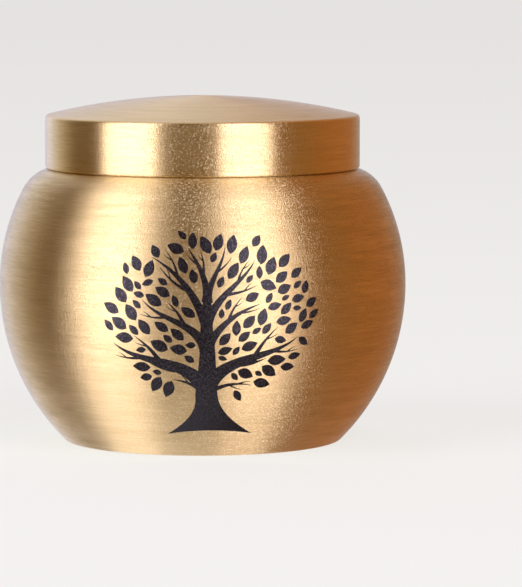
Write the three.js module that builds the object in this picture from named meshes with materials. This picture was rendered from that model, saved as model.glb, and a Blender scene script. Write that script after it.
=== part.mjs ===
import * as THREE from 'three';

// A small round keepsake urn of brushed brass: a squat hollow pot with a raised neck,
// and a domed lid that drops over the neck and rests on the pot's shoulder.
// Millimetres, +Z up. The origin is the middle of the underside, on the turning axis.

// Driving dimensions
const BELLY_RADIUS = 22.5;
const BELLY_HEIGHT = 17.3;
const LEDGE_HEIGHT = 30.2;
const LID_RADIUS = 17.4;
const LID_SIDE = 5.8;
const DOME_RISE = 2.1;

// Curves of the pot's side, from the shoulder down to the foot
const SHOULDER_ROUND = 4.2;
const UPPER_ARC = 22.6;
const LOWER_ARC = 24.3;
const FOOT_ROUND = 0.6;

// Walls, and the neck inside the lid
const WALL = 1.3;
const FLOOR = 1.6;
const NECK_RADIUS = 15.4;
const NECK_HEIGHT = 4.1;
const LID_CLEARANCE = 0.3;
const LIP_ROUND = 0.3;

// Small rounds on the lid
const RIM_ROUND = 0.45;
const SKIRT_ROUND = 0.15;

const AROUND = 64;
const QUARTER = Math.PI / 2;

// Points along an arc about (r, z), from one angle to another, both ends included
function arc(r, z, radius, from, to, steps) {
  const points = [];
  for (let i = 0; i <= steps; i++) {
    const angle = from + ((to - from) * i) / steps;
    points.push(new THREE.Vector2(r + radius * Math.cos(angle), z + radius * Math.sin(angle)));
  }
  return points;
}

// The centre of a small round at height z that runs smoothly into a belly arc from inside,
// and the angle at which the two meet
function roundInside(bellyArc, roundRadius, z) {
  const arcCentre = BELLY_RADIUS - bellyArc;
  const reach = bellyArc - roundRadius;
  const rise = z - BELLY_HEIGHT;
  const run = Math.sqrt(reach * reach - rise * rise);
  return { r: arcCentre + run, angle: Math.atan2(rise, run) };
}

const shoulder = roundInside(UPPER_ARC, SHOULDER_ROUND, LEDGE_HEIGHT - SHOULDER_ROUND);
const foot = roundInside(LOWER_ARC, FOOT_ROUND, FOOT_ROUND);

// The outside of the pot, from the underside up to the flat ledge
function outerSide() {
  return [
    ...arc(foot.r, FOOT_ROUND, FOOT_ROUND, -QUARTER, foot.angle, 3),
    ...arc(BELLY_RADIUS - LOWER_ARC, BELLY_HEIGHT, LOWER_ARC, foot.angle, 0, 9).slice(1),
    ...arc(BELLY_RADIUS - UPPER_ARC, BELLY_HEIGHT, UPPER_ARC, 0, shoulder.angle, 6).slice(1),
    ...arc(shoulder.r, LEDGE_HEIGHT - SHOULDER_ROUND, SHOULDER_ROUND, shoulder.angle, QUARTER, 5).slice(1),
  ];
}

// The inside of the pot, one wall in from the outside, from under the ledge down to the floor
function innerSide() {
  const lower = LOWER_ARC - WALL;
  const upper = UPPER_ARC - WALL;
  const under = SHOULDER_ROUND - WALL;
  const floorAngle = Math.asin((FLOOR - BELLY_HEIGHT) / lower);
  return [
    ...arc(shoulder.r, LEDGE_HEIGHT - SHOULDER_ROUND, under, QUARTER, shoulder.angle, 4),
    ...arc(BELLY_RADIUS - UPPER_ARC, BELLY_HEIGHT, upper, shoulder.angle, 0, 5).slice(1),
    ...arc(BELLY_RADIUS - LOWER_ARC, BELLY_HEIGHT, lower, 0, floorAngle, 7).slice(1),
  ];
}

// The raised neck that the lid fits over, from the ledge up and over its lip to under the ledge
function neck() {
  const bore = NECK_RADIUS - WALL;
  const lip = LEDGE_HEIGHT + NECK_HEIGHT - LIP_ROUND;
  return [
    new THREE.Vector2(NECK_RADIUS, LEDGE_HEIGHT),
    ...arc(NECK_RADIUS - LIP_ROUND, lip, LIP_ROUND, 0, QUARTER, 2),
    ...arc(bore + LIP_ROUND, lip, LIP_ROUND, QUARTER, 2 * QUARTER, 2),
    new THREE.Vector2(bore, LEDGE_HEIGHT - WALL),
  ];
}

// The lid as one closed outline: ceiling, inside of the skirt, its foot, the side, rim and dome
function lidOutline() {
  const inside = NECK_RADIUS + LID_CLEARANCE;
  const rimHeight = LEDGE_HEIGHT + LID_SIDE;
  const domeRadius = (LID_RADIUS ** 2 + DOME_RISE ** 2) / (2 * DOME_RISE);
  const domeCentre = rimHeight + DOME_RISE - domeRadius;
  const rimReach = domeRadius - RIM_ROUND;
  const rimAngle = Math.acos((LID_RADIUS - RIM_ROUND) / rimReach);
  const ceilingRadius = domeRadius - WALL;
  const ceilingAngle = Math.acos(inside / ceilingRadius);
  const skirtFoot = LEDGE_HEIGHT + SKIRT_ROUND;
  const rimCentre = domeCentre + rimReach * Math.sin(rimAngle);
  return [
    ...arc(0, domeCentre, ceilingRadius, QUARTER, ceilingAngle, 4),
    new THREE.Vector2(inside, LEDGE_HEIGHT),
    ...arc(LID_RADIUS - SKIRT_ROUND, skirtFoot, SKIRT_ROUND, -QUARTER, 0, 2),
    ...arc(LID_RADIUS - RIM_ROUND, rimCentre, RIM_ROUND, 0, rimAngle, 3),
    ...arc(0, domeCentre, domeRadius, rimAngle, QUARTER, 6).slice(1),
  ];
}

// Turns a profile of (radius, height) points about the Z axis
function turned(points) {
  const profile = points.map((p) => new THREE.Vector2(Math.abs(p.x) < 1e-9 ? 0 : p.x, p.y));
  return new THREE.LatheGeometry(profile, AROUND).rotateX(QUARTER);
}

const brushedBrass = new THREE.MeshStandardMaterial({ color: '#c9a567', metalness: 1, roughness: 0.38 });
const satinBrass = new THREE.MeshStandardMaterial({ color: '#cdab72', metalness: 1, roughness: 0.32 });

function vessel() {
  const outline = [
    new THREE.Vector2(0, 0),
    ...outerSide(),
    ...neck(),
    ...innerSide(),
    new THREE.Vector2(0, FLOOR),
  ];
  const mesh = new THREE.Mesh(turned(outline), brushedBrass);
  mesh.name = 'vessel';
  return mesh;
}

function lid() {
  const mesh = new THREE.Mesh(turned(lidOutline()), satinBrass);
  mesh.name = 'lid';
  return mesh;
}

const urn = new THREE.Group();
urn.add(vessel(), lid());

export default urn;
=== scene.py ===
"""A miniature cremation urn of brushed brass, with a black tree printed on its belly.

The sizes are written in millimetres and the meshes are made in metres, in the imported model's frame:
the origin is the middle of the underside, +Z is up the turning axis, and the tree faces -Y.
"""

import logging
import math
from dataclasses import dataclass, field, replace
from enum import Enum

import bpy
import numpy as np
from bpy.types import Material, Node, NodeSocket, Object
from mathutils import Euler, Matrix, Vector
from mathutils.geometry import delaunay_2d_cdt


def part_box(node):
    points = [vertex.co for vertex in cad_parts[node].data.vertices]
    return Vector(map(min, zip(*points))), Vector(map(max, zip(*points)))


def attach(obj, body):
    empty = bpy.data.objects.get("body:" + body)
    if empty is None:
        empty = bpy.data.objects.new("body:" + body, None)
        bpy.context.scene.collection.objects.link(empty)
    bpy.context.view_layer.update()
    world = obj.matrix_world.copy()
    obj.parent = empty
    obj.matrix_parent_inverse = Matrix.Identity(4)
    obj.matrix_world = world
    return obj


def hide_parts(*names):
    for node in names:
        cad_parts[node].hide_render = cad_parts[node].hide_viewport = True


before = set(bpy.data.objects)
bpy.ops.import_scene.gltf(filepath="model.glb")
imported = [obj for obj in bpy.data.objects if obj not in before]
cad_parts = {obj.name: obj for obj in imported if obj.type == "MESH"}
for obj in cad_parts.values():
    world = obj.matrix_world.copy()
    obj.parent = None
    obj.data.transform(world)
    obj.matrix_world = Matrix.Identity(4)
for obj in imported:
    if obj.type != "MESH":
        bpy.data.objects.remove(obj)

MM = 0.001
QUARTER = math.pi / 2
BRUSHING = "brushing"
BAKE_MAP = "OFBake"
BAKE_EDGE = 0.005

Array = np.ndarray
Pair = tuple[float, float]
Colour = tuple[float, float, float]

log = logging.getLogger("urn")


class Slot(Enum):
    """The names of two of the record's material slots, which the brushed and satin finishes below also bear.
    """

    BRUSHED = "brushed_brass"
    SATIN = "satin_brass"


@dataclass(frozen=True)
class Profile:
    """An outline in the plane of radius and height, in millimetres, with its outward normals."""

    radius: Array
    height: Array
    normal_radius: Array
    normal_height: Array

    @property
    def run(self) -> Array:
        """The running length of the outline, in millimetres."""
        steps = np.hypot(np.diff(self.radius), np.diff(self.height))
        return np.concatenate([[0.0], np.cumsum(steps)])


def arc(centre: Pair, radius: float, start: float, end: float, step: float, hollow: bool = False) -> Profile:
    """An arc: centre plus radius times the cosine and sine of an angle that runs from start to end.

    Args:
        centre: the arc's centre, as radius and height.
        radius: the arc's own radius.
        start: the first angle, in radians, from the outward horizontal.
        end: the last angle.
        step: the longest stretch between two points.
        hollow: True where the solid lies outside the arc, so the normals point at its centre.

    Returns:
        The arc's points and normals.
    """
    count = max(2, math.ceil(abs(end - start) * radius / step)) + 1
    angle = np.linspace(start, end, count)
    side = -1.0 if hollow else 1.0
    return Profile(
        centre[0] + radius * np.cos(angle),
        centre[1] + radius * np.sin(angle),
        side * np.cos(angle),
        side * np.sin(angle),
    )


def line(start: Pair, end: Pair, step: float) -> Profile:
    """A straight stretch from start to end. The solid lies on its left, so the normal is its right.

    Args:
        start: the first point, as radius and height.
        end: the last point.
        step: the longest stretch between two points.

    Returns:
        The line's points and normals.
    """
    length = math.hypot(end[0] - start[0], end[1] - start[1])
    share = np.linspace(0.0, 1.0, max(1, math.ceil(length / step)) + 1)
    across = (end[0] - start[0]) / length
    up = (end[1] - start[1]) / length
    return Profile(
        start[0] + (end[0] - start[0]) * share,
        start[1] + (end[1] - start[1]) * share,
        np.full(share.shape, up),
        np.full(share.shape, -across),
    )


def chain(*parts: Profile) -> Profile:
    """Joins outlines end to end, in order, without the point that two neighbours share."""
    rows = zip(*((part.radius, part.height, part.normal_radius, part.normal_height) for part in parts))
    return Profile(*(np.concatenate([row[0], *(later[1:] for later in row[1:])]) for row in rows))


def round_axis(radius: Array, height: Array, angle: Array) -> Array:
    """Turns an outline round the axis: x is radius times sine of the angle, y minus radius times cosine."""
    return np.stack(np.broadcast_arrays(radius * np.sin(angle), -radius * np.cos(angle), height), axis=-1)


def starts(sizes: Array) -> Array:
    """Where each face's corners start in the list of all corners: the sum of the sizes before it."""
    return np.concatenate([[0], np.cumsum(sizes)[:-1]])


def bake_across(turn: Array) -> Array:
    """The bake map's x at a share of a turn from -0.5 to 0.5, with BAKE_EDGE left clear at both edges."""
    return BAKE_EDGE + (1 - 2 * BAKE_EDGE) * (turn + 0.5)


def add_object(name: str, data: bpy.types.ID) -> Object:
    """Puts data into a new object at the origin, and links it to the scene."""
    made = bpy.data.objects.new(name, data)
    bpy.context.scene.collection.objects.link(made)
    return made


@dataclass
class SurfaceMesh:
    """A mesh in the making: points in millimetres, their normals, faces, and two maps on the corners."""

    points: Array
    normals: Array
    corners: Array
    face_sizes: Array
    corner_brushing: Array
    corner_bake: Array
    face_materials: Array

    def build(self, name: str, materials: list[Material]) -> Object:
        """Puts the arrays into a new object at the origin, in metres.

        Args:
            name: the piece's name.
            materials: the materials that face_materials counts.

        Returns:
            The new object, linked to the scene.
        """
        mesh = bpy.data.meshes.new(name)
        mesh.vertices.add(len(self.points))
        mesh.vertices.foreach_set("co", (self.points * MM).astype(np.float32).ravel())
        mesh.loops.add(len(self.corners))
        mesh.loops.foreach_set("vertex_index", self.corners.astype(np.int32))
        mesh.polygons.add(len(self.face_sizes))
        mesh.polygons.foreach_set("loop_start", starts(self.face_sizes).astype(np.int32))
        for material in materials:
            mesh.materials.append(material)
        mesh.polygons.foreach_set("material_index", self.face_materials.astype(np.int32))
        mesh.update(calc_edges=True)
        mesh.validate(clean_customdata=False)
        for layer, values in ((BRUSHING, self.corner_brushing), (BAKE_MAP, self.corner_bake)):
            uv = mesh.uv_layers.new(name=layer)
            uv.data.foreach_set("uv", values.astype(np.float32).ravel())
        mesh.polygons.foreach_set("use_smooth", np.ones(len(self.face_sizes), dtype=bool))
        mesh.normals_split_custom_set_from_vertices(self.normals.astype(np.float32))
        return add_object(name, mesh)


@dataclass(frozen=True)
class Band:
    """A stretch of a turned outline, and the strip of the bake map that it fills."""

    first: int
    last: int
    low: float
    high: float

    def place(self, at: Array, run: Array) -> Array:
        """The bake map's y at a run along the outline: its share of the stretch, laid in the strip."""
        share = (at - run[self.first]) / (run[self.last] - run[self.first])
        return self.low + (self.high - self.low) * share


def turned_mesh(
    profile: Profile, around: int, bands: list[Band], left_out: Array | None = None
) -> SurfaceMesh:
    """Turns an outline that starts and ends on the axis: point (i, j) is the outline's point i at angle j.

    The angle is 0 towards -Y and grows towards +X. The brushing map holds the angle's share of a turn and
    the run along the outline in millimetres. The bake map lays each band of the outline in its own strip.

    Args:
        profile: the outline, its first and last points on the axis.
        around: how many steps a turn has.
        bands: the strips of the bake map, which cover the outline.
        left_out: marks the grid's cells, outline step by angle step, that get no face.

    Returns:
        The mesh, every face with material 0.
    """
    rows, run = len(profile.radius), profile.run
    angle = 2 * math.pi * (np.arange(around) / around - 0.5)
    ring = round_axis(profile.radius[1:-1, None], profile.height[1:-1, None], angle)
    lean = round_axis(profile.normal_radius[1:-1, None], profile.normal_height[1:-1, None], angle)
    poles, pole_normals = (
        [[0.0, 0.0, values[0]], [0.0, 0.0, values[-1]]] for values in (profile.height, profile.normal_height)
    )
    points = np.concatenate([ring.reshape(-1, 3), poles])
    normals = np.concatenate([lean.reshape(-1, 3), pole_normals])

    i, j = (part.ravel() for part in np.meshgrid(np.arange(rows - 3), np.arange(around), indexing="ij"))
    after = (j + 1) % around
    low, high = i * around, (i + 1) * around
    quads = np.stack([low + j, low + after, high + after, high + j], axis=1)
    quad_turn = np.stack([j, j + 1, j + 1, j], axis=1) / around - 0.5
    quad_row = np.stack([i, i, i + 1, i + 1], axis=1) + 1
    if left_out is not None:
        kept = ~left_out[1:-1].ravel()
        quads, quad_turn, quad_row = quads[kept], quad_turn[kept], quad_row[kept]

    j = np.arange(around)
    after = (j + 1) % around
    last_ring = (rows - 3) * around
    low_fan = np.stack([np.full(around, len(points) - 2), after, j], axis=1)
    high_fan = np.stack([np.full(around, len(points) - 1), last_ring + j, last_ring + after], axis=1)
    low_turn = np.stack([j + 0.5, j + 1, j], axis=1) / around - 0.5
    high_turn = np.stack([j + 0.5, j, j + 1], axis=1) / around - 0.5
    low_row = np.tile([0, 1, 1], (around, 1))
    high_row = np.tile([rows - 1, rows - 2, rows - 2], (around, 1))

    fans = (low_fan, low_turn, low_row), (high_fan, high_turn, high_row)
    corners, turns, at_row = (
        np.concatenate([part.ravel() for part in parts]) for parts in zip((quads, quad_turn, quad_row), *fans)
    )
    sizes = np.concatenate([np.full(len(quads), 4), np.full(2 * around, 3)])
    lowest_row = np.repeat(np.minimum.reduceat(at_row, starts(sizes)), sizes)
    up = np.zeros(len(at_row))
    for band in bands:
        inside = (lowest_row >= band.first) & (lowest_row < band.last)
        up = np.where(inside, band.place(run[at_row], run), up)
    brushing = np.stack([turns, run[at_row]], axis=1)
    bake = np.stack([bake_across(turns), up], axis=1)
    return SurfaceMesh(points, normals, corners, sizes, brushing, bake, np.zeros(len(sizes), dtype=int))


@dataclass(frozen=True)
class Round:
    """A small round that runs smoothly into a larger arc, with the angle where they meet."""

    centre: Pair
    radius: float
    meets: float


def round_inside(arc_centre: Pair, arc_radius: float, radius: float, height: float) -> Round:
    """Finds the round of that radius, centred at that height, that touches a larger arc from inside.

    Its centre is as far from the arc's centre as the two radii differ.

    Args:
        arc_centre: the larger arc's centre, as radius and height.
        arc_radius: the larger arc's radius.
        radius: the small round's radius.
        height: the height of the small round's centre.

    Returns:
        The round.
    """
    reach = arc_radius - radius
    rise = height - arc_centre[1]
    across = math.sqrt(reach * reach - rise * rise)
    return Round((arc_centre[0] + across, height), radius, math.atan2(rise, across))


@dataclass(frozen=True)
class Stroke:
    """A bough or twig of the print: a curved stroke, widest at its foot and pointed at its tip.

    headings are in degrees clockwise from straight up, at the foot, halfway and at the tip. flare is the
    share of the width that the foot adds, and it dies away over about flare_reach widths.
    """

    foot: Pair
    headings: tuple[float, float, float]
    length: float
    width: float
    flare: float
    flare_reach: float = 0.8
    taper: float = 0.85

    def heading(self, share: Array | float) -> Array | float:
        """The parabola in the share of the length that passes through the three headings, in degrees."""
        low, middle, high = self.headings
        return low + (4 * middle - 3 * low - high) * share + 2 * (low - 2 * middle + high) * share * share

    def centre_line(self, share: Array) -> tuple[Array, Array]:
        """The running sum of short steps along the heading.

        Args:
            share: evenly spaced shares of the length, from 0 to 1.

        Returns:
            The line's x and y.
        """
        heading = np.radians(self.heading(share))
        between = (heading[1:] + heading[:-1]) / 2
        step = self.length / (len(share) - 1)
        x = self.foot[0] + step * np.concatenate([[0.0], np.cumsum(np.sin(between))])
        y = self.foot[1] + step * np.concatenate([[0.0], np.cumsum(np.cos(between))])
        return x, y

    def half_width(self, share: Array | float) -> Array | float:
        """1 less the share, to the power taper, plus a flare that dies away just past the foot."""
        narrow = (1.0 - share) ** self.taper
        root = self.flare * np.exp(-share * self.length / (self.flare_reach * self.width))
        return self.width / 2 * (narrow + root * (1.0 - share))

    def outline(self, count: int = 20) -> Array:
        """The centre line offset to both sides by the half width.

        Args:
            count: how many points each side has.

        Returns:
            The closed outline's points, anticlockwise.
        """
        share = np.linspace(0.0, 1.0, count)
        x, y = self.centre_line(share)
        heading = np.radians(self.heading(share))
        half = self.half_width(share)
        aside, down = np.cos(heading) * half, np.sin(heading) * half
        right = np.stack([x + aside, y - down], axis=1)
        left = np.stack([x - aside, y + down], axis=1)
        return np.concatenate([right, left[-2::-1]])

    def spot(self, share: float, count: int = 50) -> tuple[Pair, float]:
        """The point at that share of the length, read off count points, and the heading there in degrees."""
        steps = np.linspace(0.0, 1.0, count)
        x, y = (float(np.interp(share, steps, part)) for part in self.centre_line(steps))
        return (x, y), float(self.heading(share))


@dataclass(frozen=True)
class Leaf:
    """A leaf of the print: a pointed oval, a little wider towards its stalk, as skew is below 1.

    disc_size is the width of its two outer discs as a share of the leaf's, and disc_off how far they sit
    from its middle, as a share of its length.
    """

    middle: Pair
    heading: float
    length: float
    width: float
    skew: float = 0.88
    disc_size: float = 0.62
    disc_off: float = 0.3

    @property
    def tip(self) -> Array:
        """The direction of the leaf's tip: the sine and cosine of its heading."""
        angle = math.radians(self.heading)
        return np.array([math.sin(angle), math.cos(angle)])

    def outline(self, count: int = 8) -> Array:
        """Half the width is twice the width times u times 1 - u, with u the share along the leaf to the
        power skew.

        Args:
            count: how many points each side has.

        Returns:
            The closed outline's points, anticlockwise.
        """
        share = np.linspace(0.0, 1.0, count)
        bent = share**self.skew
        half = 2 * self.width * bent * (1 - bent)
        along = (share - 0.5) * self.length
        aside = np.array([self.tip[1], -self.tip[0]])
        spine = np.array(self.middle) + along[:, None] * self.tip
        right = spine + half[:, None] * aside
        left = spine - half[:, None] * aside
        return np.concatenate([right, left[-2:0:-1]])

    def discs(self) -> tuple[Array, Array]:
        """Three discs along the leaf that stand for it when room is measured: centres and radii."""
        along = np.array([-self.disc_off, 0.0, self.disc_off]) * self.length
        centres = np.array(self.middle) + along[:, None] * self.tip
        return centres, np.array([self.disc_size, 1.0, self.disc_size]) * self.width / 2


@dataclass(frozen=True)
class Twig:
    """Where a twig leaves its bough: the share of the bough's length, the side, and the spread in degrees.

    Its length is a share of the bough's. Its width is width_share of half the bough's, and no less than
    least_width.
    """

    share: float
    side: int
    spread: float
    length_share: float
    least_width: float = 0.22
    width_share: float = 1.24
    flare: float = 0.2

    def grow(self, bough: Stroke, middle_turn: float, tip_turn: float) -> Stroke:
        """Draws the twig: it leaves the bough at the spread, and then bends.

        Args:
            bough: the stroke that it grows from.
            middle_turn: how far its heading has turned halfway, in degrees.
            tip_turn: how far its heading has turned at the tip.

        Returns:
            The twig's stroke.
        """
        foot, heading = bough.spot(self.share)
        heading += self.side * self.spread
        width = max(self.least_width, self.width_share * float(bough.half_width(self.share)))
        headings = (heading, heading + middle_turn, heading + tip_turn)
        return Stroke(foot, headings, bough.length * self.length_share, width, self.flare)


@dataclass
class PrintedTree:
    """The tree printed on the belly, drawn flat: x is the way round the widest ring, y the way up the side.

    Millimetres, with y at 0 on the widest ring. The boughs are listed, the twigs follow from them, and
    the leaves are strewn through the crown wherever there is room, from large to small.

    lean is how far the trunk stands left of its foot from the waist up, and sway and sway_rate are its wave.
    twig_bend is a twig's least bend in degrees and what chance adds; twig_curve is how much of it is done
    halfway and at the tip. A twig longer than shoot_from has a shoot on its other side, which turns back by
    shoot_turn degrees halfway and by twice that at the tip.

    leaf_sizes are shares of leaf_length, and leaf_width is the least width as a share of the length, and
    what chance adds. Leaves larger than core_clear's first value keep out of the crown's core, and those
    smaller than rim_clear's out of its rim. crown_inset of a leaf's length keeps its middle off the rim. It
    points away from fan_foot, which is given from the middle, give or take leaf_turn degrees. Below each
    height in trunk_clear, leaves keep that far from the trunk. leaf_room is the least and the best room.
    """

    middle: float = 0.95
    foot_height: float = -15.7
    waist_height: float = -10.4
    fork_height: float = 1.6
    foot_arch: float = 0.55
    waist_half: float = 1.32
    foot_spread: float = 4.5
    fork_half: float = 0.38
    foot_power: float = 2.1
    fork_power: float = 0.8
    lean: float = 0.5
    sway: float = 0.05
    sway_rate: float = 0.8
    twig_bend: Pair = (18, 10)
    twig_curve: Pair = (0.8, 1.3)
    shoot: Twig = Twig(0.55, 1, 38, length_share=0.36, least_width=0.16, width_share=1.4)
    shoot_from: float = 2.6
    shoot_turn: float = 12
    trunk_rows: tuple[int, int] = (16, 14)
    arch_points: int = 11
    crown_middle: Pair = (0.95, -1.7)
    crown_reach: Pair = (12.2, 10.0)
    crown_inset: float = 0.45
    fan_foot: Pair = (-0.35, -6.5)
    leaf_length: float = 2.2
    leaf_count: int = 104
    leaf_sizes: tuple[Pair, ...] = ((1.0, 0.86), (0.84, 0.64), (0.62, 0.46))
    leaf_width: Pair = (0.52, 0.1)
    leaf_turn: float = 24
    leaf_room: Pair = (0.12, 0.20)
    core_clear: Pair = (0.9, 0.35)
    rim_clear: Pair = (0.6, 0.8)
    trunk_clear: tuple[Pair, ...] = ((-8.8, 3.4), (-3.0, 1.6))
    tries: int = 260
    wood_points: int = 30
    seed: int = 9
    boughs: list[tuple[Stroke, list[Twig]]] = field(default_factory=list)

    def __post_init__(self) -> None:
        """Sets the boughs: low, middle and high on each side, two leaders, and two low twigs. Each bough's
        foot, headings, length, width and flare are followed by its twigs: share, side, spread and length."""
        rows = (
            ((0.35, -9.9), (-22, -76, -48), 12.2, 1.75, 0.35),
            ((0.32, -1, 34, 0.30), (0.52, 1, 48, 0.34), (0.70, -1, 30, 0.26)),
            ((0.35, -5.2), (-14, -64, -38), 9.1, 1.15, 0.35),
            ((0.40, 1, 44, 0.36), (0.64, -1, 38, 0.34)),
            ((0.44, -2.9), (-14, -38, -64), 10.2, 1.15, 0.0),
            ((0.45, -1, 36, 0.42), (0.64, 1, 38, 0.34)),
            ((0.55, -9.4), (26, 73, 50), 11.8, 1.65, 0.35),
            ((0.36, 1, 34, 0.30), (0.54, -1, 50, 0.36), (0.73, 1, 34, 0.26)),
            ((0.55, -4.9), (22, 52, 74), 7.7, 1.00, 0.35),
            ((0.48, -1, 38, 0.40), (0.68, 1, 30, 0.30)),
            ((0.52, -2.4), (10, 46, 28), 8.9, 1.05, 0.0),
            ((0.43, 1, 44, 0.42), (0.64, -1, 36, 0.32)),
            ((0.45, 0.0), (4, -22, -36), 6.4, 0.95, 0.35),
            ((0.45, 1, 34, 0.45), (0.66, -1, 36, 0.30)),
            ((0.50, 0.4), (6, 26, 6), 6.0, 0.80, 0.35),
            ((0.50, 1, 36, 0.40),),
            ((0.10, -10.4), (-30, -66, -84), 4.3, 0.62, 0.35),
            ((0.55, 1, 48, 0.30),),
            ((0.70, -10.2), (50, 82, 104), 5.4, 0.62, 0.35),
            ((0.48, 1, 46, 0.34), (0.68, -1, 30, 0.28)),
        )
        for bough, twigs in zip(rows[::2], rows[1::2]):
            self.boughs.append((Stroke(*bough), [Twig(*twig) for twig in twigs]))

    def trunk(self) -> Array:
        """The trunk: half its width is the waist's, plus a foot that spreads as a power of the way down,
        less a taper up to the fork. Its base line is a low arch.

        Returns:
            The closed outline's points, anticlockwise.
        """
        low_rows = np.linspace(self.foot_height, self.waist_height, self.trunk_rows[0])
        high_rows = np.linspace(self.waist_height, self.fork_height, self.trunk_rows[1])
        y = np.concatenate([low_rows, high_rows[1:]])
        down = np.clip((self.waist_height - y) / (self.waist_height - self.foot_height), 0, 1)
        up = np.clip((y - self.waist_height) / (self.fork_height - self.waist_height), 0, 1)
        lean = self.middle - self.lean * (1 - down) + self.sway * np.sin(self.sway_rate * y)
        narrowing = (self.waist_half - self.fork_half) * up**self.fork_power
        half = self.waist_half + self.foot_spread * down**self.foot_power - narrowing
        right = np.stack([lean + half, y], axis=1)
        left = np.stack([lean - half, y], axis=1)
        share = np.linspace(-1.0, 1.0, self.arch_points)[1:-1]
        rise = self.foot_height + self.foot_arch * (1 - share**2)
        arch = np.stack([lean[0] + share * half[0], rise], axis=1)
        return np.concatenate([arch, right, left[::-1]])

    def strokes(self, chance: np.random.Generator) -> list[Stroke]:
        """Each bough, its twigs, and a side shoot on each longer twig. A twig bends back towards its bough.

        Args:
            chance: the seeded source of small differences.

        Returns:
            Every stroke of wood but the trunk.
        """
        wood = []
        for bough, twigs in self.boughs:
            wood.append(bough)
            for twig in twigs:
                bend = -twig.side * (self.twig_bend[0] + self.twig_bend[1] * chance.random())
                branch = twig.grow(bough, self.twig_curve[0] * bend, self.twig_curve[1] * bend)
                wood.append(branch)
                if branch.length > self.shoot_from:
                    turn = twig.side * self.shoot_turn
                    wood.append(replace(self.shoot, side=-twig.side).grow(branch, turn, 2 * turn))
        return wood

    def has_place(self, size: float, off: float, place: Array) -> bool:
        """Says whether a leaf may grow at a place.

        Args:
            size: the leaf's size as a share of leaf_length.
            off: the square of its way out from the crown's middle, where 1 is the rim.
            place: the place.

        Returns:
            False past the rim, where that size keeps out, and in the clear space beside the trunk.
        """
        (large, core), (small, rim) = self.core_clear, self.rim_clear
        if off > 1 or (size > large and off < core) or (size < small and off > rim):
            return False
        aside = abs(place[0] - self.middle + self.lean)
        return not any(place[1] < height and aside < reach for height, reach in self.trunk_clear)

    def leaves(self, wood: list[Stroke], chance: np.random.Generator) -> list[Leaf]:
        """Strews leaves through the crown. Of the places tried for a leaf, the one kept has just enough room
        to the wood and to the other leaves, so the crown fills evenly. A leaf points away from the trunk.

        Args:
            wood: the strokes that leaves keep clear of.
            chance: the seeded source of places and headings.

        Returns:
            The leaves.
        """
        share = np.linspace(0.0, 1.0, self.wood_points)
        discs = np.concatenate(
            [np.stack([*stroke.centre_line(share), stroke.half_width(share)], axis=1) for stroke in wood]
        )
        third = self.leaf_count // 3
        counts = (third, self.leaf_count - 2 * third, third)
        sizes = np.concatenate([np.linspace(*ends, count) for ends, count in zip(self.leaf_sizes, counts)])
        middle, reach = np.array(self.crown_middle), np.array(self.crown_reach)
        fan_foot = np.array([self.middle + self.fan_foot[0], self.fan_foot[1]])
        least_room, best_room = self.leaf_room
        strewn: list[Leaf] = []
        for size in sizes:
            length = self.leaf_length * size
            width = length * (self.leaf_width[0] + self.leaf_width[1] * chance.random())
            best, best_miss = None, math.inf
            for spot in chance.uniform(-1, 1, (self.tries, 2)):
                place = middle + spot * (reach - self.crown_inset * length)
                if not self.has_place(size, float(spot @ spot), place):
                    continue
                away = place - fan_foot
                heading = math.degrees(math.atan2(away[0], away[1])) + chance.normal(0, self.leaf_turn)
                leaf = Leaf((float(place[0]), float(place[1])), heading, length, width)
                centres, radii = leaf.discs()
                gaps = np.hypot(*(centres[:, None, :] - discs[None, :, :2]).transpose(2, 0, 1))
                room = float((gaps - discs[None, :, 2] - radii[:, None]).min())
                miss = abs(room - best_room)
                if room > least_room and miss < best_miss:
                    best, best_miss = leaf, miss
            if best is not None:
                strewn.append(best)
                discs = np.concatenate([discs, np.column_stack(best.discs())])
        return strewn

    def outlines(self) -> list[Array]:
        """Every closed outline of the print: the trunk, the wood and the leaves."""
        chance = np.random.default_rng(self.seed)
        wood = self.strokes(chance)
        leaves = self.leaves(wood, chance)
        return [self.trunk(), *(stroke.outline() for stroke in wood), *(leaf.outline() for leaf in leaves)]


@dataclass(frozen=True)
class Window:
    """The part of the turned grid that the drawing fills: its rows and columns, and the drawing's y at each
    row and x at each column."""

    rows: Array
    columns: Array
    way_up: Array
    way_round: Array


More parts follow.
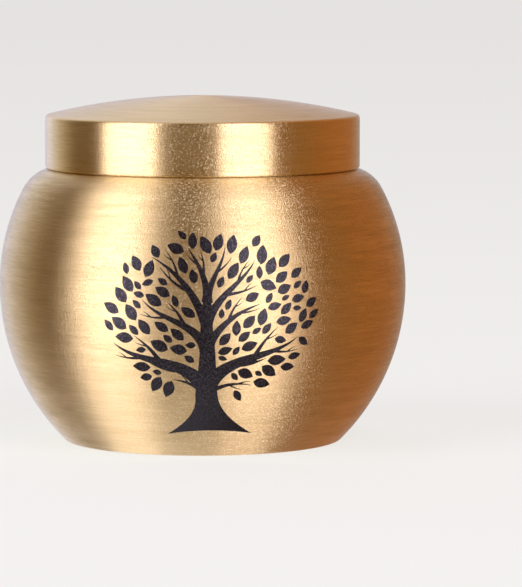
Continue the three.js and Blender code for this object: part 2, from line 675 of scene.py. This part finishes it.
@dataclass
class Vessel:
    """The pot: its side is four arcs that run smoothly into each other, with a neck inside the lid.

    The widest radius, the ledge's height and the lip's height come from the frame. Steps are the longest
    stretch between two points, and points nearer than weld are one. bake_strips and print_corners are
    places in the bake map: the low and high edge of the outside, of the neck and of the inside, and the
    print's two opposite corners.
    """

    belly_height: float = 17.3
    shoulder_round: float = 4.2
    upper_arc: float = 22.6
    lower_arc: float = 24.3
    foot_round: float = 0.6
    wall: float = 1.3
    floor: float = 1.6
    neck_radius: float = 15.4
    lip_round: float = 0.3
    neck_fillet: float = 0.15
    floor_fillet: float = 1.0
    around: int = 256
    step: float = 0.42
    coarse_step: float = 1.2
    foot_step: float = 0.15
    fillet_step: float = 0.08
    lip_step: float = 0.12
    rim_step: float = 0.4
    corner_step: float = 0.3
    print_margin: float = 0.8
    weld: float = 1e-5
    bake_strips: tuple[Pair, Pair, Pair] = ((0.30, 0.78), (0.20, 0.29), (0.01, 0.19))
    print_corners: tuple[Pair, Pair] = ((0.01, 0.80), (0.31, 0.995))
    belly_radius: float = field(init=False)
    ledge_height: float = field(init=False)
    lip_height: float = field(init=False)

    def __post_init__(self) -> None:
        """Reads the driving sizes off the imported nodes."""
        _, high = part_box("vessel")
        low_of_lid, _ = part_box("lid")
        self.belly_radius = high.x / MM
        self.lip_height = high.z / MM
        self.ledge_height = low_of_lid.z / MM

    @property
    def lower_centre(self) -> Pair:
        """The centre of the arc below the widest ring."""
        return self.belly_radius - self.lower_arc, self.belly_height

    @property
    def upper_centre(self) -> Pair:
        """The centre of the arc above the widest ring."""
        return self.belly_radius - self.upper_arc, self.belly_height

    def outside(self) -> Profile:
        """The underside, the foot's round, the two belly arcs and the shoulder, up to the ledge's edge."""
        foot = round_inside(self.lower_centre, self.lower_arc, self.foot_round, self.foot_round)
        shoulder = self.shoulder()
        return chain(
            line((0.0, 0.0), (foot.centre[0], 0.0), self.coarse_step),
            arc(foot.centre, foot.radius, -QUARTER, foot.meets, self.foot_step),
            arc(self.lower_centre, self.lower_arc, foot.meets, 0.0, self.step),
            arc(self.upper_centre, self.upper_arc, 0.0, shoulder.meets, self.step),
            arc(shoulder.centre, shoulder.radius, shoulder.meets, QUARTER, self.step),
        )

    def shoulder(self) -> Round:
        """The round between the upper belly arc and the flat ledge."""
        height = self.ledge_height - self.shoulder_round
        return round_inside(self.upper_centre, self.upper_arc, self.shoulder_round, height)

    def neck(self) -> Profile:
        """The ledge, the neck's outside, its lip and its bore, down to the edge under the ledge."""
        top, out, edge = self.lip_height, self.neck_radius, self.lip_round
        lip, bore, under = top - edge, out - self.wall, self.ledge_height - self.wall
        root = (out + self.neck_fillet, self.ledge_height + self.neck_fillet)
        start = self.shoulder().centre[0]
        return chain(
            line((start, self.ledge_height), (root[0], self.ledge_height), self.step),
            arc(root, self.neck_fillet, -QUARTER, -2 * QUARTER, self.fillet_step, hollow=True),
            line((out, root[1]), (out, lip), self.coarse_step),
            arc((out - edge, lip), edge, 0.0, QUARTER, self.lip_step),
            line((out - edge, top), (bore + edge, top), self.rim_step),
            arc((bore + edge, lip), edge, QUARTER, 2 * QUARTER, self.lip_step),
            line((bore, lip), (bore, under + edge), self.coarse_step),
            arc((bore + edge, under + edge), edge, 2 * QUARTER, 3 * QUARTER, self.lip_step),
            line((bore + edge, under), (start, under), self.coarse_step),
        )

    def inside(self) -> Profile:
        """The hollow, one wall in from the outside, from under the ledge down to the floor's middle."""
        shoulder, wall, step = self.shoulder(), self.wall, self.coarse_step
        lower = self.lower_arc - wall
        corner = round_inside(self.lower_centre, lower, self.floor_fillet, self.floor + self.floor_fillet)
        return chain(
            arc(shoulder.centre, shoulder.radius - wall, QUARTER, shoulder.meets, step, hollow=True),
            arc(self.upper_centre, self.upper_arc - wall, shoulder.meets, 0.0, step, hollow=True),
            arc(self.lower_centre, lower, 0.0, corner.meets, step, hollow=True),
            arc(corner.centre, corner.radius, corner.meets, -QUARTER, self.corner_step, hollow=True),
            line((corner.centre[0], self.floor), (0.0, self.floor), step),
        )

    def on_side(self, flat: Array) -> tuple[Array, Array]:
        """Wraps flat points onto the belly: x over the widest radius is the angle round the axis, and y over
        the upper or lower arc's radius is the angle up or down from the widest ring.

        Args:
            flat: points of the flat drawing, in millimetres.

        Returns:
            The points on the belly and their outward normals.
        """
        bend = np.where(flat[:, 1] >= 0, self.upper_arc, self.lower_arc)
        rise, turn = flat[:, 1] / bend, flat[:, 0] / self.belly_radius
        radius = self.belly_radius - bend + bend * np.cos(rise)
        height = self.belly_height + bend * np.sin(rise)
        return round_axis(radius, height, turn), round_axis(np.cos(rise), np.sin(rise), turn)

    def way_up(self, height: Array) -> Array:
        """The drawing's y at each height of the belly: the arc's radius times the arcsine of the rise."""
        bend = np.where(height >= self.belly_height, self.upper_arc, self.lower_arc)
        return bend * np.arcsin(np.clip((height - self.belly_height) / bend, -1, 1))

    def window(self, outside: Profile, drawn: Array) -> Window:
        """Finds the rows and columns of the turned grid that enclose the drawing and its margin.

        Args:
            outside: the outline's outer part.
            drawn: the drawing's points.

        Returns:
            The window.
        """
        low, high = drawn.min(axis=0) - self.print_margin, drawn.max(axis=0) + self.print_margin
        rows, columns = np.arange(len(outside.radius)), np.arange(self.around)
        way_up = np.where(outside.height < self.foot_round, -math.inf, self.way_up(outside.height))
        way_round = (columns / self.around - 0.5) * 2 * math.pi * self.belly_radius
        rows = rows[rows[way_up < low[1]].max() : rows[way_up > high[1]].min() + 1]
        columns = columns[columns[way_round < low[0]].max() : columns[way_round > high[0]].min() + 1]
        return Window(rows, columns, way_up[rows], way_round[columns])

    def build(self, tree: PrintedTree, metal: Material, ink: Material) -> Object:
        """Turns the pot, and cuts the tree's outline into the grid of its front, so the print lies flush.

        Args:
            tree: the drawing.
            metal: the pot's own finish.
            ink: the print's finish.

        Returns:
            The finished piece.
        """
        outside, neck, inside = self.outside(), self.neck(), self.inside()
        profile = chain(outside, neck, inside)
        outlines = tree.outlines()
        window = self.window(outside, np.concatenate(outlines))
        cut = np.zeros((len(profile.radius) - 1, self.around), dtype=bool)
        cut[np.ix_(window.rows[:-1], window.columns[:-1])] = True
        ends = np.cumsum([0, *(len(part.radius) - 1 for part in (outside, neck, inside))])
        bands = [Band(a, b, *strip) for a, b, strip in zip(ends[:-1], ends[1:], self.bake_strips)]
        turned = turned_mesh(profile, self.around, bands, cut)
        patch = self.printed_front(profile, turned, outlines, window, bands[0])
        piece = patch.build("vessel_dressed", [metal, ink])
        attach(piece, "root")
        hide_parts("vessel")
        return piece

    def printed_front(
        self, profile: Profile, turned: SurfaceMesh, outlines: list[Array], window: Window, band: Band
    ) -> SurfaceMesh:
        """Fills the window left in the turned grid with triangles between the grid's points and the drawing.

        Args:
            profile: the whole outline.
            turned: the turned mesh with the window left out.
            outlines: the drawing's closed outlines.
            window: the window.
            band: the bake map's strip that the outside fills.

        Returns:
            The mesh with its front filled. Faces inside the drawing have material 1.
        """
        i, j = np.meshgrid(window.rows, window.columns, indexing="ij")
        grid = np.stack(np.meshgrid(window.way_round, window.way_up), axis=2).reshape(-1, 2)
        grid_ids = ((i - 1) * self.around + j).ravel()
        index = np.arange(len(grid)).reshape(i.shape)
        frame_ring = np.concatenate([index[0, :-1], index[:-1, -1], index[-1, :0:-1], index[:0:-1, 0]])

        loops, count = [frame_ring.tolist()], len(grid)
        for outline in outlines:
            loops.append(list(range(count, count + len(outline))))
            count += len(outline)
        flat = [tuple(point) for point in np.concatenate([grid, *outlines]).tolist()]
        points, _, faces, from_points, _, from_faces = delaunay_2d_cdt(flat, [], loops, 0, self.weld, True)
        spots = np.array([tuple(point) for point in points])

        given = np.array([min(origins) if origins else -1 for origins in from_points])
        on_grid = (given >= 0) & (given < len(grid))
        new_ids = len(turned.points) + np.cumsum(~on_grid) - 1
        ids = np.where(on_grid, grid_ids[np.clip(given, 0, len(grid) - 1)], new_ids)
        new_points, new_normals = self.on_side(spots[~on_grid])
        inked = np.array([any(origin > 0 for origin in origins) for origins in from_faces])

        corners, corner_spots = ids[np.array(faces)], spots[np.array(faces)]
        turn = corner_spots[..., 0] / (2 * math.pi * self.belly_radius)
        run = profile.run[int(np.argmax(profile.radius))] + corner_spots[..., 1]
        metal_bake = np.stack([bake_across(turn), band.place(run, profile.run)], axis=2)
        low, high = spots.min(axis=0), spots.max(axis=0)
        low_corner, high_corner = np.array(self.print_corners)
        ink_bake = low_corner + (high_corner - low_corner) * ((corner_spots - low) / (high - low))
        bake = np.where(inked[:, None, None], ink_bake, metal_bake)
        brushing = np.stack([turn, run], axis=2)
        return SurfaceMesh(
            np.concatenate([turned.points, new_points]),
            np.concatenate([turned.normals, new_normals]),
            np.concatenate([turned.corners, corners.ravel()]),
            np.concatenate([turned.face_sizes, np.full(len(corners), 3)]),
            np.concatenate([turned.corner_brushing, brushing.reshape(-1, 2)]),
            np.concatenate([turned.corner_bake, bake.reshape(-1, 2)]),
            np.concatenate([turned.face_materials, inked.astype(int)]),
        )


@dataclass
class Lid:
    """The lid: a cap with an upright side and a low domed top, hollow below, resting on the pot's ledge.

    The radius and the two heights come from the frame. Steps are the longest stretch between two points.
    bake_strips are the low and high edge, in the bake map, of the underside and of the outside. A face near
    the top is the dome's where its normal's upward part is more than domed_from.
    """

    side: float = 5.8
    wall: float = 1.3
    inside_radius: float = 15.7
    rim_round: float = 0.45
    skirt_round: float = 0.22
    ceiling_fillet: float = 0.5
    around: int = 256
    step: float = 0.5
    coarse_step: float = 1.2
    fillet_step: float = 0.15
    edge_step: float = 0.08
    skirt_step: float = 0.05
    domed_from: float = 0.6
    bake_strips: tuple[Pair, Pair] = ((0.01, 0.35), (0.37, 0.99))
    radius: float = field(init=False)
    foot_height: float = field(init=False)
    top_height: float = field(init=False)

    def __post_init__(self) -> None:
        """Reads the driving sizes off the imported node."""
        low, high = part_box("lid")
        self.radius = high.x / MM
        self.foot_height = low.z / MM
        self.top_height = high.z / MM

    @property
    def dome_radius(self) -> float:
        """The radius of the ball that the dome is cut from: (r^2 + h^2) / 2h, with h its rise."""
        rise = self.top_height - self.foot_height - self.side
        return (self.radius**2 + rise**2) / (2 * rise)

    @property
    def dome_middle(self) -> float:
        """The height of that ball's middle."""
        return self.top_height - self.dome_radius

    def underside(self) -> Profile:
        """The ceiling, the inside of the skirt and its flat foot."""
        ceiling, fillet, edge = self.dome_radius - self.wall, self.ceiling_fillet, self.skirt_round
        middle, inner, foot = self.dome_middle, self.inside_radius, self.foot_height
        corner = round_inside((0.0, middle), ceiling, fillet, middle + self.fillet_rise(ceiling, fillet))
        return chain(
            arc((0.0, middle), ceiling, QUARTER, corner.meets, self.coarse_step, hollow=True),
            arc(corner.centre, fillet, corner.meets, 0.0, self.fillet_step, hollow=True),
            line((inner, corner.centre[1]), (inner, foot + edge), self.coarse_step),
            arc((inner + edge, foot + edge), edge, 2 * QUARTER, 3 * QUARTER, self.edge_step),
            line((inner + edge, foot), (self.radius - edge, foot), self.step),
        )

    def fillet_rise(self, ceiling: float, fillet: float) -> float:
        """How far above the dome's centre a fillet that touches the ceiling and the skirt is centred."""
        return math.sqrt((ceiling - fillet) ** 2 - (self.inside_radius - fillet) ** 2)

    def outside(self) -> Profile:
        """The skirt's outer edge, the upright side, the rim's round and the dome."""
        middle, edge, foot = self.dome_middle, self.skirt_round, self.foot_height
        across = self.radius - self.rim_round
        rise = math.sqrt((self.dome_radius - self.rim_round) ** 2 - across**2)
        meets = math.atan2(rise, across)
        return chain(
            arc((self.radius - edge, foot + edge), edge, -QUARTER, 0.0, self.skirt_step),
            line((self.radius, foot + edge), (self.radius, middle + rise), self.step),
            arc((across, middle + rise), self.rim_round, 0.0, meets, self.edge_step),
            arc((0.0, middle), self.dome_radius, meets, QUARTER, self.step),
        )

    def build(self, side: Material, top: Material) -> Object:
        """Turns the lid, with its side brushed and its domed top satin.

        Args:
            side: the finish of the side and of the inside.
            top: the finish of the domed top.

        Returns:
            The finished piece.
        """
        underside, outside = self.underside(), self.outside()
        profile = chain(underside, outside)
        joint, end = len(underside.radius) - 1, len(profile.radius) - 1
        bands = [Band(0, joint, *self.bake_strips[0]), Band(joint, end, *self.bake_strips[1])]
        turned = turned_mesh(profile, self.around, bands)
        first_corners = starts(turned.face_sizes)
        face_height = np.maximum.reduceat(turned.points[turned.corners, 2], first_corners)
        face_normal = np.add.reduceat(turned.normals[turned.corners, 2], first_corners) / turned.face_sizes
        rim = self.foot_height + self.side - self.rim_round
        domed = (face_normal > self.domed_from) & (face_height > rim)
        turned.face_materials = domed.astype(int)
        piece = turned.build("lid_dressed", [side, top])
        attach(piece, "root")
        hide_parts("lid")
        return piece


class NodeSheet:
    """The nodes of a material or a world, added one at a time with their inputs."""

    def __init__(self, owner: Material | bpy.types.World) -> None:
        """Switches on the owner's nodes."""
        owner.use_nodes = True
        self.owner = owner
        self.tree = owner.node_tree

    def add(self, kind: str, inputs: dict | None = None, **settings: object) -> Node:
        """Adds a node.

        Args:
            kind: the node's type, without the word ShaderNode.
            inputs: values or other nodes' outputs, by the input's name or number.
            settings: the node's own settings.

        Returns:
            The node.
        """
        node = self.tree.nodes.new("ShaderNode" + kind)
        for key, value in settings.items():
            setattr(node, key, value)
        return self.feed(node, inputs or {})

    def feed(self, node: Node, inputs: dict) -> Node:
        """Links outputs to a node's inputs, or sets the inputs' values. A colour is opaque.

        Args:
            node: the node.
            inputs: values or other nodes' outputs, by the input's name or number.

        Returns:
            The node.
        """
        for key, value in inputs.items():
            if isinstance(value, NodeSocket):
                self.tree.links.new(value, node.inputs[key])
            else:
                node.inputs[key].default_value = (*value, 1.0) if isinstance(value, tuple) else value
        return node

    def principled(self, inputs: dict) -> Material:
        """Feeds the Principled shader that a new material starts with, and returns the material."""
        self.feed(self.tree.nodes["Principled BSDF"], inputs)
        return self.owner

    def math(self, operation: str, first: object, second: object = 0.0) -> NodeSocket:
        """One sum on two numbers."""
        return self.add("Math", {0: first, 1: second}, operation=operation).outputs[0]

    def times(self, first: object, second: object) -> NodeSocket:
        """The product of two numbers."""
        return self.math("MULTIPLY", first, second)

    def blend(self, share: object, low: object, high: object) -> NodeSocket:
        """A colour between two, by the share of the second."""
        return self.add("Mix", {0: share, 6: low, 7: high}, data_type="RGBA").outputs[2]

    def between(self, value: object, ends: Pair, to: Pair = (0.0, 1.0), **settings: object) -> NodeSocket:
        """A number moved from one range to another, and held to it."""
        names = ("From Min", "From Max", "To Min", "To Max")
        return self.add("MapRange", {"Value": value, **dict(zip(names, (*ends, *to)))}, **settings).outputs[0]

    def noise(self, place: NodeSocket, scale: float, detail: float) -> NodeSocket:
        """Noise from 0 to 1, with that many finer octaves."""
        return self.add("TexNoise", {"Vector": place, "Scale": scale, "Detail": detail}).outputs["Fac"]

    def here(self) -> NodeSocket:
        """The place in the piece's own coordinates, in metres."""
        return self.add("TexCoord").outputs["Object"]

    def parts(self, vector: NodeSocket) -> list[NodeSocket]:
        """A vector's x, y and z."""
        return list(self.add("SeparateXYZ", {0: vector}).outputs)

    def brushing(self) -> list[NodeSocket]:
        """The brushing map's two values: the share of a turn, and the run up the side in millimetres."""
        return self.parts(self.add("UVMap", uv_map=BRUSHING).outputs[0])[:2]

    def dented(self, height: NodeSocket, depth: float) -> NodeSocket:
        """The normal of a relief of that depth in millimetres."""
        return self.add("Bump", {"Height": height, "Distance": depth * MM, "Strength": 1.0}).outputs[0]


@dataclass(frozen=True)
class Streaks:
    """Streaks of one size: length round the urn and height up its side, in millimetres, and finer octaves."""

    length: float
    height: float
    detail: float

    def noise(self, sheet: NodeSheet) -> NodeSocket:
        """Noise over x and y divided by the streak's length, and the run up the side by its height.

        Args:
            sheet: the material's nodes.

        Returns:
            The noise, from 0 to 1.
        """
        x, y, _ = sheet.parts(sheet.here())
        across = 1.0 / (self.length * MM)
        up = sheet.times(sheet.brushing()[1], 1.0 / self.height)
        vector = sheet.add("CombineXYZ", {0: sheet.times(x, across), 1: sheet.times(y, across), 2: up})
        return sheet.noise(vector.outputs[0], 1.0, self.detail)


@dataclass(frozen=True)
class Grain:
    """The marks of brushing round the axis: streaks that are long round the urn and fine up its side.

    speckle and spark are sizes in millimetres. Sparks are bright grains, strongest round the print:
    grainy_turn is their middle, grainy_reach is where they start and end to fade, in turns, and side_share
    is what stays at the sides.
    """

    long: Streaks = Streaks(3.2, 0.13, 3.0)
    fine: Streaks = Streaks(0.9, 0.06, 2.0)
    bands: Streaks = Streaks(11.0, 0.9, 2.0)
    speckle: float = 0.14
    spark: float = 0.17
    grainy_turn: float = 0.03
    grainy_reach: Pair = (0.04, 0.11)
    side_share: float = 0.35

    def speckles(self, sheet: NodeSheet, size: float) -> NodeSocket:
        """Fine noise of that size that is alike in all directions, from 0 to 1."""
        return sheet.noise(sheet.here(), 1.0 / (size * MM), 1.0)

    def round_print(self, sheet: NodeSheet) -> NodeSocket:
        """1 round the print, falling to side_share towards the sides, by the map's share of a turn."""
        aside = sheet.math("ABSOLUTE", sheet.math("SUBTRACT", sheet.brushing()[0], self.grainy_turn))
        return sheet.between(aside, self.grainy_reach, (1.0, self.side_share))

    def relief(self, sheet: NodeSheet, streak: float, fine: float, speckle: float) -> NodeSocket:
        """The sum of the three noises by their weights."""
        long = sheet.times(self.long.noise(sheet), streak)
        both = sheet.math("ADD", long, sheet.times(self.fine.noise(sheet), fine))
        return sheet.math("ADD", both, sheet.times(self.speckles(sheet, self.speckle), speckle))


@dataclass(frozen=True)
class BrushedBrass:
    """Lacquered brass, brushed round the axis, so its highlights stand tall across the brushing.

    Streaks turn the colour pale across colour_range and the metal smooth across smooth_range. roughness is
    that of the roughest and of the smoothest metal. band_share is the wide bands' part in the streaks.
    """

    name: str = "brushed_brass"
    colour: Colour = (0.76, 0.585, 0.245)
    pale_colour: Colour = (0.90, 0.705, 0.325)
    roughness: Pair = (0.44, 0.34)
    spark_colour: Colour = (1.0, 0.87, 0.50)
    spark: float = 0.52
    spark_range: Pair = (0.53, 0.63)
    colour_range: Pair = (0.36, 0.64)
    smooth_range: Pair = (0.32, 0.68)
    band_share: float = 0.35
    anisotropy: float = 1.0
    brushing_turn: float = 0.25
    relief_depth: float = 0.028
    streak: float = 0.45
    fine: float = 0.3
    speckle: float = 1.0
    grain: Grain = Grain()

    def build(self) -> Material:
        """Sets colour, roughness and relief from the grain.

        Returns:
            The material.
        """
        sheet, grain = NodeSheet(bpy.data.materials.new(self.name)), self.grain
        long = sheet.times(grain.long.noise(sheet), 1.0 - self.band_share)
        both = sheet.math("ADD", long, sheet.times(grain.bands.noise(sheet), self.band_share))
        sparks = sheet.between(grain.speckles(sheet, grain.spark), self.spark_range)
        sparks = sheet.times(sparks, grain.round_print(sheet))
        streaky = sheet.blend(sheet.between(both, self.colour_range), self.colour, self.pale_colour)
        roughness = sheet.between(both, self.smooth_range, self.roughness)
        relief = grain.relief(sheet, self.streak, self.fine, self.speckle)
        return sheet.principled(
            {
                "Metallic": 1.0,
                "Anisotropic": self.anisotropy,
                "Anisotropic Rotation": self.brushing_turn,
                "Tangent": sheet.add("Tangent", direction_type="RADIAL", axis="Z").outputs[0],
                "Base Color": sheet.blend(sparks, streaky, self.spark_colour),
                "Roughness": sheet.math("ADD", roughness, sheet.times(sparks, self.spark)),
                "Normal": sheet.dented(relief, self.relief_depth),
            }
        )


@dataclass(frozen=True)
class PrintedBlack:
    """Thin black print: the brushing shows through it as a fine relief, and the metal as dim specks.

    Towards the tree's foot the metal specks thin out, so the print is darker there: painted shade. Between
    the two runs of speck_run, in millimetres up the outline, the specks grow from fewest_specks to their full
    share. roughness goes from the first value to the second across smooth_range of the streaks.
    """

    name: str = "printed_black"
    colour: Colour = (0.004, 0.0035, 0.004)
    speck_colour: Colour = (0.07, 0.065, 0.07)
    speck_metal: float = 0.9
    shine: float = 0.30
    shine_colour: Colour = (1.0, 0.94, 0.90)
    speck_range: Pair = (0.50, 0.66)
    speck_run: Pair = (20.0, 30.0)
    fewest_specks: float = 0.1
    roughness: Pair = (0.22, 0.16)
    smooth_range: Pair = (0.3, 0.7)
    relief_depth: float = 0.030
    streak: float = 0.2
    fine: float = 0.2
    speckle: float = 1.0
    grain: Grain = Grain()

    def build(self) -> Material:
        """Sets colour, metal, roughness and relief from the brushing underneath.

        Returns:
            The material.
        """
        sheet, grain = NodeSheet(bpy.data.materials.new(self.name)), self.grain
        specks = sheet.between(grain.speckles(sheet, grain.spark), self.speck_range)
        # painted shade: fewer metal specks towards the tree's foot, so the print is darker there
        painted_foot_shade = sheet.between(sheet.brushing()[1], self.speck_run, (self.fewest_specks, 1.0))
        specks = sheet.times(specks, painted_foot_shade)
        relief = grain.relief(sheet, self.streak, self.fine, self.speckle)
        return sheet.principled(
            {
                "Specular IOR Level": self.shine,
                "Specular Tint": self.shine_colour,
                "Base Color": sheet.blend(specks, self.colour, self.speck_colour),
                "Metallic": sheet.times(specks, self.speck_metal),
                "Roughness": sheet.between(grain.long.noise(sheet), self.smooth_range, self.roughness),
                "Normal": sheet.dented(relief, self.relief_depth),
            }
        )


@dataclass(frozen=True)
class PaleFloor:
    """A plain pale studio floor that glows faintly, like a light table, so it is even far from the lamps."""

    name: str = "pale_floor"
    colour: Colour = (0.22, 0.237, 0.18)
    roughness: float = 0.9
    glow_colour: Colour = (1.0, 1.0, 1.0)
    glow: float = 0.70

    def build(self) -> Material:
        """Sets a matt pale colour and the glow.

        Returns:
            The material.
        """
        return NodeSheet(bpy.data.materials.new(self.name)).principled(
            {
                "Roughness": self.roughness,
                "Specular IOR Level": 0.0,
                "Base Color": self.colour,
                "Emission Color": self.glow_colour,
                "Emission Strength": self.glow,
            }
        )


@dataclass(frozen=True)
class Softbox:
    """A tall flat light that stands upright and faces the urn.

    angle is in degrees round the urn, from the camera's side towards its right. brightness is what the
    box looks like in a mirror, where white is 1. Lengths are in metres.
    """

    name: str
    angle: float
    half_width: float
    brightness: float
    colour: Colour = (1.0, 0.93, 1.22)
    distance: float = 0.60
    tall: float = 1.25
    middle_height: float = 0.375

    def build(self) -> Object:
        """Hangs the light: its width is twice the distance times the tangent of half_width, in degrees, and
        its power is pi times its area times its brightness.

        Returns:
            The light.
        """
        lamp = bpy.data.lights.new(self.name, "AREA")
        lamp.shape = "RECTANGLE"
        lamp.size = 2 * self.distance * math.tan(math.radians(self.half_width))
        lamp.size_y = self.tall
        lamp.energy = math.pi * lamp.size * lamp.size_y * self.brightness
        lamp.color = self.colour
        light = add_object(self.name, lamp)
        turn = math.radians(self.angle)
        light.location = (math.sin(turn) * self.distance, -math.cos(turn) * self.distance, self.middle_height)
        light.rotation_euler = Euler((QUARTER, 0.0, turn))
        light.visible_camera = False
        return light


@dataclass(frozen=True)
class Wall:
    """A stretch of the room's wall as the urn reflects it: its angle round the urn in degrees, its colour."""

    angle: float
    colour: Colour


@dataclass
class Room:
    """The room round the urn: pale and cool behind it on its left, dim and warm in front, amber on its right,
    and soft and pale from straight below. To the camera it is an even pale backdrop that matches the floor.

    strength scales all its colours. Directions whose z lies between the two values of horizon blend from the
    walls to the ground.
    """

    backdrop: float = 0.80
    strength: float = 1.5
    horizon: Pair = (-0.40, -0.88)
    walls: tuple[Wall, ...] = (
        Wall(-180.0, (0.46, 0.47, 0.64)),
        Wall(-150.0, (0.63, 0.65, 0.92)),
        Wall(-128.0, (0.36, 0.30, 0.27)),
        Wall(-112.0, (0.12, 0.070, 0.038)),
        Wall(-95.0, (0.10, 0.055, 0.025)),
        Wall(0.0, (0.12, 0.068, 0.026)),
        Wall(75.0, (0.20, 0.095, 0.035)),
        Wall(105.0, (0.27, 0.110, 0.040)),
        Wall(140.0, (0.29, 0.120, 0.055)),
        Wall(162.0, (0.30, 0.230, 0.220)),
        Wall(180.0, (0.46, 0.47, 0.64)),
    )
    ground: tuple[Wall, ...] = (
        Wall(-180.0, (0.74, 0.73, 1.00)),
        Wall(0.0, (0.66, 0.60, 0.70)),
        Wall(45.0, (0.27, 0.19, 0.17)),
        Wall(140.0, (0.28, 0.16, 0.14)),
        Wall(180.0, (0.74, 0.73, 1.00)),
    )

    def build(self) -> None:
        """Sets the world: the angle round the urn, from its direction's x and y, picks a colour on two ramps,
        and the direction's z blends them."""
        world = bpy.data.worlds.new("room")
        bpy.context.scene.world = world
        sheet = NodeSheet(world)
        x, y, z = sheet.parts(sheet.add("TexCoord").outputs["Generated"])
        share = sheet.between(sheet.math("ARCTAN2", x, sheet.times(y, -1.0)), (-math.pi, math.pi))
        down = sheet.between(z, self.horizon, interpolation_type="SMOOTHSTEP")
        colour = sheet.blend(down, self.ramp(sheet, share, self.walls), self.ramp(sheet, share, self.ground))
        mirrored = sheet.feed(sheet.tree.nodes["Background"], {"Color": colour, "Strength": self.strength})
        seen = sheet.add("Background", {"Color": (self.backdrop, self.backdrop, self.backdrop)})
        to_camera = sheet.add("LightPath").outputs["Is Camera Ray"]
        both = sheet.add("MixShader", {0: to_camera, 1: mirrored.outputs[0], 2: seen.outputs[0]})
        sheet.feed(sheet.tree.nodes["World Output"], {"Surface": both.outputs[0]})

    def ramp(self, sheet: NodeSheet, share: NodeSocket, stretches: tuple[Wall, ...]) -> NodeSocket:
        """Blends from each stretch's colour to the next one's.

        Args:
            sheet: the world's nodes.
            share: the angle as a share of the turn, from the back round the left.
            stretches: the colours by angle, in order.

        Returns:
            The colour at that angle.
        """
        node = sheet.add("ValToRGB", {0: share})
        stops = node.color_ramp.elements
        stops.remove(stops[1])
        for index, wall in enumerate(stretches):
            place = wall.angle / 360.0 + 0.5
            stop = stops[0] if index == 0 else stops.new(place)
            stop.position = place
            stop.color = (*wall.colour, 1.0)
        return node.outputs[0]


@dataclass
class Studio:
    """The floor, the lights, the room and the camera at the photograph's viewing angle.

    camera_away is from the urn's axis, in millimetres, and the camera looks a little past the urn on its
    right. camera_turn and camera_dip are in radians, and clip is in metres.
    """

    camera_away: float = 461.8
    camera_height: float = 60.0
    camera_turn: float = 0.0140
    camera_dip: float = 0.0947
    focal_pixels: float = 4177.6
    image_height: int = 587
    sensor: float = 36.0
    clip: Pair = (0.01, 30.0)
    floor_size: float = 14.0

    def camera(self) -> None:
        """Sets the camera. Its lens is the focal length in pixels over the image's longer side, times the
        sensor."""
        data = bpy.data.cameras.new("camera")
        data.sensor_width = self.sensor
        data.lens = self.focal_pixels / self.image_height * self.sensor
        data.clip_start, data.clip_end = self.clip
        camera = add_object("camera", data)
        camera.location = (0.0, -self.camera_away * MM, self.camera_height * MM)
        camera.rotation_euler = Euler((QUARTER - self.camera_dip, 0.0, -self.camera_turn))
        bpy.context.scene.camera = camera

    def floor(self) -> None:
        """Lays a wide square of pale floor under the urn. The metal doesn't mirror it: what the metal mirrors
        from below is the room's ground."""
        half = self.floor_size / 2
        corners = [(-half, -half, 0), (half, -half, 0), (half, half, 0), (-half, half, 0)]
        mesh = bpy.data.meshes.new("floor")
        mesh.from_pydata(corners, [], [(0, 1, 2, 3)])
        mesh.materials.append(PaleFloor().build())
        floor = add_object("floor", mesh)
        floor.visible_glossy = False
        floor.visible_shadow = False

    def lights(self) -> None:
        """Sets two tall softboxes in front of the urn: one well to its left, and one nearer the camera on its
        right."""
        Softbox("left_softbox", angle=-55.5, half_width=21.5, brightness=3.1).build()
        Softbox("right_softbox", angle=32.0, half_width=19.0, brightness=3.1).build()

    def build(self) -> None:
        """Sets up all of it, with plain colours and no tone curve."""
        bpy.context.scene.view_settings.view_transform = "Standard"
        self.camera()
        self.floor()
        self.lights()
        Room().build()


def main() -> None:
    """Builds the studio, the finishes and the two pieces."""
    logging.basicConfig(level=logging.INFO, format="%(message)s")
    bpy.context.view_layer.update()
    Studio().build()
    brushed = BrushedBrass().build()
    satin = BrushedBrass(
        name="satin_brass",
        roughness=(0.42, 0.36),
        anisotropy=0.6,
        relief_depth=0.002,
        spark_colour=(0.90, 0.705, 0.325),
        spark=0.03,
        streak=0.15,
        fine=0.2,
    ).build()
    fine_brushed = BrushedBrass(
        name="fine_brushed_brass", roughness=(0.36, 0.33), spark=0.42, relief_depth=0.008
    ).build()
    ink = PrintedBlack().build()
    vessel = Vessel().build(PrintedTree(), brushed, ink)
    log.info("%s: %d faces", vessel.name, len(vessel.data.polygons))
    lid = Lid().build(fine_brushed, satin)
    log.info("%s: %d faces", lid.name, len(lid.data.polygons))


if __name__ == "__main__":
    main()
